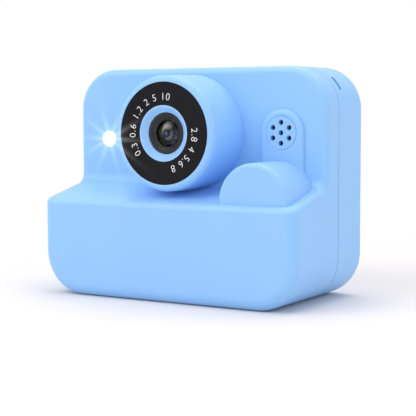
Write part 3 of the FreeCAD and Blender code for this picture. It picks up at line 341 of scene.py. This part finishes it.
M = {
    "blue": soft_touch(),
    "flap": moulded("flap_rubber_blue", (0.22, 0.50, 0.90), 0.62, 1800.0, 0.00003, Sheen_Weight=0.15),
    "bezel": bezel_gloss(),
    "lens_black": moulded("lens_black", (0.006, 0.006, 0.007), 0.40, 3000.0, 0.00001, 0.10),
    "black": moulded("moulded_black", (0.025, 0.025, 0.028), 0.48, 1500.0, 0.00003, 0.08),
    "white": moulded("key_white", (0.86, 0.90, 0.94), 0.36, 2600.0, 0.00001, 0.01, Coat_Weight=0.15),
    "nylon": moulded("nylon_white", (0.78, 0.77, 0.72), 0.42, 1200.0, 0.00002, 0.03),
    "legend": moulded("legend_blue", (0.10, 0.28, 0.62), 0.5, 2600.0, 0.00001, 0.02),
    "print": moulded("scale_print_white", (0.88, 0.89, 0.90), 0.55, 3600.0, 0.00001, 0.03),
    "rubber": moulded("platen_rubber", (0.018, 0.018, 0.018), 0.72, 1400.0, 0.00004, 0.1),
    "board": board_mask(),
    "edge_black": moulded("edge_black", (0.030, 0.030, 0.031), 0.22, 3000.0, 0.00001, 0.08),
    "steel": metal("stamped_steel", (0.60, 0.61, 0.63), 0.26),
    "zinc": metal("zinc_screw", (0.70, 0.70, 0.68), 0.20, (6.0, 6.0, 6.0)),
    "foil": metal("cell_foil", (0.66, 0.67, 0.70), 0.38, (1.0, 10.0, 1.0)),
    "gold": metal("contact_gold", (0.83, 0.60, 0.24), 0.22),
    "paper": paper(),
    "glass": coated_glass(),
    "flash_glass": clear_glass("flash_glass", (0.96, 0.98, 1.0)),
    # painted reflections and shade for the lens's inner element
    "lens_reflection_paint": painted_lens_reflections((LENS[0] - PUPIL_SHIFT, LENS[1])),
    "lamp": glowing("flash_lamp", (1.0, 0.98, 0.96), FLASH, 0.55, 25.0, 600.0),
    "cloth": cloth("speaker_cloth"),
}
M["screen"] = screen_gloss(*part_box("screen_window"), SCREEN_MARGIN)

NODE_MATERIAL = {
    "blue": "front_shell rear_shell speaker_pad speaker_grille pod_cover lens_barrel "
            "paper_door door_latch",
    "flap": "port_cover",
    "bezel": "lens_bezel",
    "lens_black": "lens_housing lens_retainer aperture_ring",
    "black": "sensor_holder speaker tact_switches paper_bin lcd_module",
    # the rear lens element is dressed in the painted lens reflections and shade
    "lens_reflection_paint": "rear_lens",
    "glass": "front_lens",
    "flash_glass": "flash_lens",
    "screen": "screen_window",
    "white": "shutter_button power_button key_ok key_up key_down key_left key_right key_menu key_print",
    "board": "sensor_board flash_board main_pcb key_board switch_boards",
    "foil": "battery_pack print_head",
    "steel": "printer_frame platen_shaft idler_pin drive_motor tear_bar door_pin usb_port card_slot "
             "lanyard_pin",
    "rubber": "platen_roller",
    "nylon": "platen_gear idler_gear motor_pinion roll_spindle",
    "paper": "paper_web paper_roll",
    "zinc": "case_screws barrel_screws board_screws block_screws",
}


def dress_nodes():
    for key, names in NODE_MATERIAL.items():
        for name in names.split():
            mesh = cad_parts[name].data
            if not mesh.materials:
                mesh.materials.append(M[key])
            for k in range(len(mesh.materials)):
                mesh.materials[k] = M[key]


# ---------------------------------------------------------------- mesh helpers
def piece(name, bm, material, body, smooth=True):
    bmesh.ops.recalc_face_normals(bm, faces=bm.faces)
    mesh = bpy.data.meshes.new(name)
    bm.to_mesh(mesh)
    bm.free()
    for p in mesh.polygons:
        p.use_smooth = smooth
    if smooth:
        mesh.set_sharp_from_angle(angle=math.radians(35))
    mesh.materials.append(material)
    obj = bpy.data.objects.new(name, mesh)
    bpy.context.scene.collection.objects.link(obj)
    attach(obj, body)
    return obj


def lathe(profile, centre, segments=96, closed=True):
    """Ring of quads from (radius, y) points round a front-to-back axis through centre (x, z)."""
    bm = bmesh.new()
    rings = []
    for r, y in profile:
        if r < 1e-7:
            rings.append([bm.verts.new((centre[0], y, centre[1]))])
            continue
        ring = []
        for k in range(segments):
            a = 2 * math.pi * k / segments
            ring.append(bm.verts.new((centre[0] + r * math.cos(a), y, centre[1] + r * math.sin(a))))
        rings.append(ring)
    pairs = list(zip(rings, rings[1:]))
    if closed:
        pairs.append((rings[-1], rings[0]))
    for a, b in pairs:
        for k in range(segments):
            j = (k + 1) % segments
            if len(a) == 1 and len(b) == 1:
                continue
            if len(a) == 1:
                bm.faces.new((a[0], b[j], b[k]))
            elif len(b) == 1:
                bm.faces.new((a[k], a[j], b[0]))
            else:
                bm.faces.new((a[k], a[j], b[j], b[k]))
    return bm


def stroke(bm, points, width, depth, place, closed=False):
    """Flat raised line along 2-D points; place maps (u, v, height) to the row frame."""
    count = len(points)
    left, right = [], []
    for k, p in enumerate(points):
        before = points[(k - 1) % count] if (closed or k > 0) else p
        after = points[(k + 1) % count] if (closed or k < count - 1) else p
        d = (Vector(after) - Vector(before)).normalized()
        side = Vector((-d.y, d.x)) * width / 2
        left.append(Vector(p) + side)
        right.append(Vector(p) - side)
    rows = []
    for a, b in zip(left, right):
        rows.append([bm.verts.new(place(a.x, a.y, 0.0)), bm.verts.new(place(a.x, a.y, depth)),
                     bm.verts.new(place(b.x, b.y, depth)), bm.verts.new(place(b.x, b.y, 0.0))])
    last = count if closed else count - 1
    for k in range(last):
        a, b = rows[k], rows[(k + 1) % count]
        for i in range(4):
            j = (i + 1) % 4
            bm.faces.new((a[i], a[j], b[j], b[i]))
    if not closed:
        bm.faces.new(rows[0])
        bm.faces.new(list(reversed(rows[-1])))


def plate(bm, points, depth, place):
    """Flat raised polygon."""
    low = [bm.verts.new(place(u, v, 0.0)) for u, v in points]
    high = [bm.verts.new(place(u, v, depth)) for u, v in points]
    bm.faces.new(low)
    bm.faces.new(high)
    count = len(points)
    for k in range(count):
        j = (k + 1) % count
        bm.faces.new((low[k], low[j], high[j], high[k]))


def arc_points(r, start, end, steps):
    pts = []
    for k in range(steps + 1):
        a = math.radians(start + (end - start) * k / steps)
        pts.append((r * math.cos(a), r * math.sin(a)))
    return pts


# ---------------------------------------------------------------- bezel scale
# each run's text, and where it starts in degrees clockwise from the top
BEZEL_RUNS = (("0.3 0.6 1.2 2 5 10", 232.0), ("2.8 4 5.6 8", 80.0))
PRINT_RADIUS = 14.7 * MM
PRINT_DEPTH = 0.04 * MM
DIGIT_SIZE = 4.1 * MM
DIGIT_THINNING = 0.06 * MM
DIGIT_MIDDLE = 0.35             # half a figure's height, as a share of the size
MARK_STEP = {" ": 7.0, ".": 4.6}
DIGIT_STEP = 9.3                # degrees taken up by a figure


def digit_mesh(text):
    curve = bpy.data.curves.new("digit", "FONT")
    curve.body = text
    curve.size = DIGIT_SIZE
    curve.align_x = "CENTER"
    curve.extrude = PRINT_DEPTH / 2
    curve.offset = -DIGIT_THINNING
    holder = bpy.data.objects.new("digit", curve)
    bpy.context.scene.collection.objects.link(holder)
    bpy.context.view_layer.update()
    graph = bpy.context.evaluated_depsgraph_get()
    mesh = bpy.data.meshes.new_from_object(holder.evaluated_get(graph))
    bpy.data.objects.remove(holder)
    bpy.data.curves.remove(curve)
    return mesh


def bezel_scale():
    """Generic distance and aperture numbers that follow the bezel, each figure turned to the arc."""
    bm = bmesh.new()
    upright = Matrix.Rotation(math.radians(90), 4, "X")
    foot = Matrix.Translation((0, 0, PRINT_RADIUS - DIGIT_SIZE * DIGIT_MIDDLE))
    at = Matrix.Translation((LENS[0], BEZEL_FACE - PRINT_DEPTH / 2, LENS[1]))
    for text, clock in BEZEL_RUNS:
        for mark in text:
            step = MARK_STEP.get(mark, DIGIT_STEP)
            if mark != " ":
                turn = Matrix.Rotation(math.radians(clock + step / 2), 4, "Y")
                mesh = digit_mesh(mark)
                mesh.transform(at @ turn @ foot @ upright)
                bm.from_mesh(mesh)
                bpy.data.meshes.remove(mesh)
            clock += step
    piece("bezel_scale", bm, M["print"], "case", smooth=False)


# ---------------------------------------------------------------- lens details
SINK = 0.02 * MM                # how far a piece stands clear of the face it is set against
BAFFLE_MOUTH = 7.02 * MM
BAFFLE_THROAT = 6.3 * MM
BAFFLE_STEPS = 3
BAFFLE_RUN = 0.7 * MM           # how much the steps narrow the bore
BAFFLE_LEAD = 0.06 * MM
DOME_R = 5.3 * MM
DOME_SAG = 1.5 * MM
DOME_STEPS = 14
HOLLOW = 2.6 * MM               # depth of the front element's hollow back
RING_HEIGHT = 0.06 * MM


def lens_baffle(face, deep):
    """Stepped black cone between the lens's front face and the retainer."""
    prof = [(BAFFLE_MOUTH, face + SINK)]
    for k in range(BAFFLE_STEPS):
        near = (k + 0.5) / BAFFLE_STEPS
        far = (k + 1) / BAFFLE_STEPS
        for t in (near, far):
            prof.append((BAFFLE_MOUTH - BAFFLE_RUN * near, face + BAFFLE_LEAD + (deep - 0.1 * MM) * t))
    prof.append((BAFFLE_THROAT, face + deep - SINK))
    prof.append((BAFFLE_MOUTH + SINK, face + BAFFLE_LEAD))
    piece("lens_baffle", lathe(prof, LENS), M["lens_black"], "case", smooth=False)


def black_ring(name, r, width, y):
    """Fine raised ring that catches the light."""
    h = RING_HEIGHT
    inner, outer = r - width / 2, r + width / 2
    prof = [(inner, y), (inner + h, y - h), (outer - h, y - h), (outer, y)]
    piece(name, lathe(prof, LENS, 128), M["edge_black"], "case")


def front_glass():
    """Domed front element with a hollow back, smoother than the CAD one."""
    low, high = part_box("front_lens")
    edge_r = (high.x - low.x) / 2
    back = high.y - SINK
    ball = (DOME_R ** 2 + DOME_SAG ** 2) / (2 * DOME_SAG)
    prof = []
    for k in range(DOME_STEPS + 1):
        r = DOME_R * k / DOME_STEPS
        prof.append((r, low.y + ball - math.sqrt(ball * ball - r * r)))
    prof += [(edge_r, low.y + DOME_SAG), (edge_r, back), (DOME_R, back)]
    for k in range(1, DOME_STEPS + 1):
        r = DOME_R * (1 - k / DOME_STEPS)
        prof.append((r, back - HOLLOW * (1 - (r / DOME_R) ** 2)))
    glass = piece("front_glass", lathe(prof, LENS, 128, closed=False), M["glass"], "case")
    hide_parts("front_lens")


def inner_glass():
    """Inner element, which nearly fills the hollow back of the front one."""
    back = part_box("front_lens")[1].y - 2 * SINK
    inner_r = DOME_R - 0.1 * MM
    depth = HOLLOW - 0.15 * MM
    prof = []
    for k in range(DOME_STEPS + 1):
        r = inner_r * k / DOME_STEPS
        prof.append((r, back - depth * (1 - (r / inner_r) ** 2)))
    prof.append((0.0, back + 0.01 * MM))
    # the inner element carries the painted lens reflections and shade
    piece("inner_glass", lathe(prof, LENS, 96, closed=False), M["lens_reflection_paint"], "case")


def lens_details():
    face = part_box("lens_housing")[0].y
    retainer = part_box("lens_retainer")[0].y
    lens_baffle(face, retainer - face)
    black_ring("lens_edge_ring", 7.62 * MM, 0.30 * MM, face + SINK / 2)
    black_ring("retainer_ring", 5.95 * MM, 0.20 * MM, retainer + SINK)
    front_glass()
    inner_glass()


# ---------------------------------------------------------------- flash
FRESNEL_RINGS = 6
FRESNEL_LOW = 0.05 * MM
FRESNEL_HIGH = 0.20 * MM
FRESNEL_MARGIN = 0.4 * MM


def flash_window():
    """Flash window with the fine stepped rings of a flat lens on its front."""
    low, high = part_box("flash_lens")
    r = (high.x - low.x) / 2 - SINK
    prof = [(0.0, low.y + FRESNEL_LOW)]
    for k in range(FRESNEL_RINGS):
        a = (r - FRESNEL_MARGIN) * (k + 0.5) / FRESNEL_RINGS
        b = (r - FRESNEL_MARGIN) * (k + 1) / FRESNEL_RINGS
        prof.append((a, low.y + FRESNEL_LOW))
        prof.append((b, low.y + FRESNEL_HIGH))
        prof.append((b + SINK, low.y + FRESNEL_LOW))
    prof += [(r, low.y + 0.12 * MM), (r, high.y), (0.0, high.y)]
    form = lathe(prof, FLASH, 72, closed=False)
    window = piece("flash_window", form, M["flash_glass"], "case")
    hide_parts("flash_lens")


def flash_lamp():
    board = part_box("flash_board")[0].y
    prof = [(0.0, board - 0.12 * MM), (2.3 * MM, board - 0.10 * MM), (2.6 * MM, board - SINK),
            (0.0, board - SINK)]
    piece("flash_lamp", lathe(prof, FLASH, 48, closed=False), M["lamp"], "case")


def flash_reflector():
    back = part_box("flash_lens")[1].y
    prof = [(1.9 * MM, back + 0.9 * MM), (2.95 * MM, back + SINK), (3.05 * MM, back + SINK),
            (3.05 * MM, back + 1.0 * MM), (1.9 * MM, back + 1.0 * MM)]
    piece("flash_reflector", lathe(prof, FLASH, 72), M["foil"], "case")


# ---------------------------------------------------------------- speaker
CLOTH_R = 5.3 * MM
CLOTH_T = 0.25 * MM


def speaker_cloth():
    """Disc of cloth behind the grille's holes."""
    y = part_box("speaker_grille")[1].y + 0.05 * MM
    prof = [(0.0, y), (CLOTH_R, y), (CLOTH_R, y + CLOTH_T), (0.0, y + CLOTH_T)]
    disc = lathe(prof, axis_of("speaker_grille"), 64, closed=False)
    piece("grille_cloth", disc, M["cloth"], "case", smooth=False)


# ---------------------------------------------------------------- legends
LEGEND_T = 0.03 * MM
LEGEND_SUNK = 0.022 * MM        # how deep a legend's foot lies in its key


def on_back(node):
    """Maps a legend's (right, up, height) to the back face of a node, as seen from behind."""
    x, z = axis_of(node)
    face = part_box(node)[1].y - LEGEND_SUNK

    def place(u, v, h):
        return (x - u, face + h, z + v)
    return place


def on_top(node):
    """The same for the top face of a node, as seen from above with the back of the camera nearest."""
    low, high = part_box(node)
    x = (low.x + high.x) / 2
    y = (low.y + high.y) / 2
    face = high.z - LEGEND_SUNK

    def place(u, v, h):
        return (x - u, y - v, face + h)
    return place


def in_metres(points):
    return [(u * MM, v * MM) for u, v in points]


def legend(name, body, place, lines=(), plates=()):
    """Raised legend of lines (points, width, closed) and filled outlines, in millimetres."""
    bm = bmesh.new()
    for points, width, closed in lines:
        stroke(bm, in_metres(points), width * MM, LEGEND_T, place, closed=closed)
    for points in plates:
        plate(bm, in_metres(points), LEGEND_T, place)
    piece(name, bm, M["legend"], body, smooth=False)


def circle(r, steps):
    return arc_points(r, 0, 360, steps)[:-1]


def turned(points, degrees):
    c = math.cos(math.radians(degrees))
    s = math.sin(math.radians(degrees))
    return [(u * c + v * s, v * c - u * s) for u, v in points]


ARROW = [(0.0, 1.5), (1.35, -0.9), (-1.35, -0.9)]
ARROW_TURN = {"key_up": 0, "key_left": -90, "key_down": 180, "key_right": 90}
MENU_BARS = (-1.1, 0.0, 1.1)
PRINTER_BODY = [(-1.6, -0.9), (-1.6, 0.5), (1.6, 0.5), (1.6, -0.9)]
PRINTER_TOP = [(-0.9, 1.6), (0.9, 1.6)]
PRINTER_SHEET = [(-0.9, -0.4), (-0.9, -1.7), (0.9, -1.7), (0.9, -0.4)]


def legends():
    for name, degrees in ARROW_TURN.items():
        legend(name + "_legend", name, on_back(name), plates=[turned(ARROW, degrees)])
    ring = [(circle(1.9, 40), 0.5, True)]
    legend("key_ok_legend", "key_ok", on_back("key_ok"), ring, [circle(0.75, 24)])
    bars = [([(-1.5, v), (1.5, v)], 0.45, False) for v in MENU_BARS]
    legend("key_menu_legend", "key_menu", on_back("key_menu"), bars)
    printer = [(points, 0.4, False) for points in (PRINTER_BODY, PRINTER_TOP, PRINTER_SHEET)]
    legend("key_print_legend", "key_print", on_back("key_print"), printer)
    power = [(arc_points(1.35, 125, 415, 36), 0.42, False), ([(0.0, 0.5), (0.0, 1.9)], 0.42, False)]
    legend("power_legend", "power", on_top("power_button"), power)
    legend("shutter_legend", "shutter", on_top("shutter_button"), [(circle(3.4, 60), 0.35, True)])


# ---------------------------------------------------------------- ports
CONTACTS = 12
CONTACT_PITCH = 0.5 * MM
CONTACT_LENGTH = 3.2 * MM
CONTACT_WIDTH = 0.24 * MM
RIBS = 5
RIB_PITCH = 1.1 * MM
RIB_START = 2.6 * MM
RIB_HALF = 3.2 * MM


def usb_contacts():
    """Two rows of gold contacts on the socket's tongue."""
    low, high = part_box("usb_port")
    mid_y = (low.y + high.y) / 2
    mid_z = (low.z + high.z) / 2
    bm = bmesh.new()
    for side in (-1, 1):
        for k in range(CONTACTS):
            z = mid_z + (k - (CONTACTS - 1) / 2) * CONTACT_PITCH

            def place(u, v, h, s=side, zz=z):
                return (low.x + 1.3 * MM + u, mid_y + s * (0.35 * MM + h), zz + v)
            stroke(bm, [(0.0, 0.0), (CONTACT_LENGTH, 0.0)], CONTACT_WIDTH, 0.02 * MM, place)
    piece("usb_contacts", bm, M["gold"], "case", smooth=False)


def cover_ribs():
    """Finger ribs on the port cover."""
    low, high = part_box("port_cover")
    mid_z = (low.z + high.z) / 2
    bm = bmesh.new()
    for k in range(RIBS):
        y = low.y + RIB_START + k * RIB_PITCH

        def rib(u, v, h, yy=y):
            return (low.x + 0.02 * MM - h, yy + u, mid_z + v)
        stroke(bm, [(0.0, -RIB_HALF), (0.0, RIB_HALF)], 0.4 * MM, 0.14 * MM, rib)
    piece("port_cover_ribs", bm, M["flap"], "flap", smooth=False)


# ---------------------------------------------------------------- stage
CAMERA_AT = Vector((0.25913, -0.42175, 0.07713))
CAMERA_YAW = 31.268
CAMERA_DOWN = 4.762
CAMERA_ROLL = -0.146
LENS_MM = 102.9
SENSOR_MM = 36.0
LIGHT_COLOUR = (1.0, 0.94, 0.93)
FLOOR_HALF = 6.0
FLOOR_BLEND = (0.13, 0.26)      # distances over which the floor turns plain white
GLARES = (
    ("BLOOM", {"Strength": 0.03, "Size": 0.08, "Threshold": 8.0}),
    ("STREAKS", {"Strength": 0.04, "Streaks": 10, "Streaks Angle": math.radians(32), "Iterations": 3,
                 "Fade": 0.84, "Color Modulation": 0.0, "Threshold": 60.0}),
)


def area_light(name, at, target, size, power):
    data = bpy.data.lights.new(name, "AREA")
    data.shape = "RECTANGLE"
    data.size, data.size_y = size
    data.energy = power
    data.color = LIGHT_COLOUR
    obj = bpy.data.objects.new(name, data)
    obj.location = at
    obj.rotation_euler = (Vector(target) - Vector(at)).to_track_quat("-Z", "Y").to_euler()
    bpy.context.scene.collection.objects.link(obj)


def glare():
    """Ten-pointed star round the lit flash."""
    scene = bpy.context.scene
    scene.use_nodes = True
    tree = scene.node_tree
    layers = tree.nodes.get("Render Layers") or tree.nodes.new("CompositorNodeRLayers")
    shown = tree.nodes.get("Composite") or tree.nodes.new("CompositorNodeComposite")
    image = layers.outputs["Image"]
    for kind, values in GLARES:
        node = tree.nodes.new("CompositorNodeGlare")
        node.glare_type = kind
        for key, value in values.items():
            node.inputs[key].default_value = value
        tree.links.new(image, node.inputs["Image"])
        image = node.outputs["Image"]
    tree.links.new(image, shown.inputs["Image"])


def camera():
    data = bpy.data.cameras.new("camera")
    data.lens = LENS_MM
    data.sensor_width = SENSOR_MM
    data.clip_start = 0.01
    obj = bpy.data.objects.new("camera", data)
    yaw = Matrix.Rotation(math.radians(CAMERA_YAW), 4, "Z")
    tilt = Matrix.Rotation(math.radians(90 - CAMERA_DOWN), 4, "X")
    roll = Matrix.Rotation(math.radians(CAMERA_ROLL), 4, "Z")
    obj.matrix_world = Matrix.Translation(CAMERA_AT) @ yaw @ tilt @ roll
    bpy.context.scene.collection.objects.link(obj)
    bpy.context.scene.camera = obj


def floor_white():
    """Matt white near the object, turning into plain white further out; clear when seen from below."""
    n = Nodes("floor_white")
    n.colour(n.mix(n.spread(n.noise(3.0), 0.3, 0.7), (0.78, 0.78, 0.78), (0.80, 0.80, 0.80)))
    n.put(Roughness=0.9, Specular_IOR_Level=0.1)
    away = n.add("ShaderNodeVectorMath", operation="LENGTH")
    n.link(n.coord, away.inputs[0])
    white = n.add("ShaderNodeEmission")
    near = n.blend(n.spread(away.outputs["Value"], *FLOOR_BLEND), n.shader.outputs[0], white.outputs[0])
    below = n.add("ShaderNodeNewGeometry")
    clear = n.add("ShaderNodeBsdfTransparent")
    whole = n.blend(below.outputs["Backfacing"], near, clear.outputs[0])
    n.link(whole, n.tree.nodes["Material Output"].inputs["Surface"])
    return n.mat


def floor():
    bm = bmesh.new()
    corners = ((-1, -1), (1, -1), (1, 1), (-1, 1))
    bm.faces.new([bm.verts.new((x * FLOOR_HALF, y * FLOOR_HALF, 0.0)) for x, y in corners])
    mesh = bpy.data.meshes.new("floor")
    bm.to_mesh(mesh)
    bm.free()
    mesh.materials.append(floor_white())
    obj = bpy.data.objects.new("floor", mesh)
    bpy.context.scene.collection.objects.link(obj)


def studio():
    """White all round for the camera, a soft dimmer fill for everything else."""
    world = bpy.data.worlds.new("studio")
    world.use_nodes = True
    tree = world.node_tree
    fill = tree.nodes["Background"]
    fill.inputs["Color"].default_value = (0.95, 0.94, 0.98, 1.0)
    fill.inputs["Strength"].default_value = 0.68
    shown = tree.nodes.new("ShaderNodeBackground")
    shown.inputs["Color"].default_value = (1.0, 1.0, 1.0, 1.0)
    shown.inputs["Strength"].default_value = 1.0
    path = tree.nodes.new("ShaderNodeLightPath")
    both = tree.nodes.new("ShaderNodeMixShader")
    tree.links.new(path.outputs["Is Camera Ray"], both.inputs[0])
    tree.links.new(fill.outputs[0], both.inputs[1])
    tree.links.new(shown.outputs[0], both.inputs[2])
    tree.links.new(both.outputs[0], tree.nodes["World Output"].inputs["Surface"])
    bpy.context.scene.world = world


def plain_view():
    view = bpy.context.scene.view_settings
    view.view_transform = "Standard"
    view.look = "None"
    view.exposure = 0.0
    view.gamma = 1.0


camera()
floor()
studio()
area_light("key_light", (-0.45, -0.80, 0.85), (0, 0, 0.04), (0.9, 0.9), 6.0)
area_light("top_light", (0.0, 0.25, 1.1), (0, 0, 0.0), (1.0, 0.9), 7.0)
area_light("right_light", (1.1, -0.25, 0.55), (0, 0, 0.04), (0.6, 0.9), 2.0)
glare()
plain_view()
dress_nodes()
bezel_scale()
lens_details()
flash_window()
flash_lamp()
flash_reflector()
speaker_cloth()
legends()
usb_contacts()
cover_ribs()
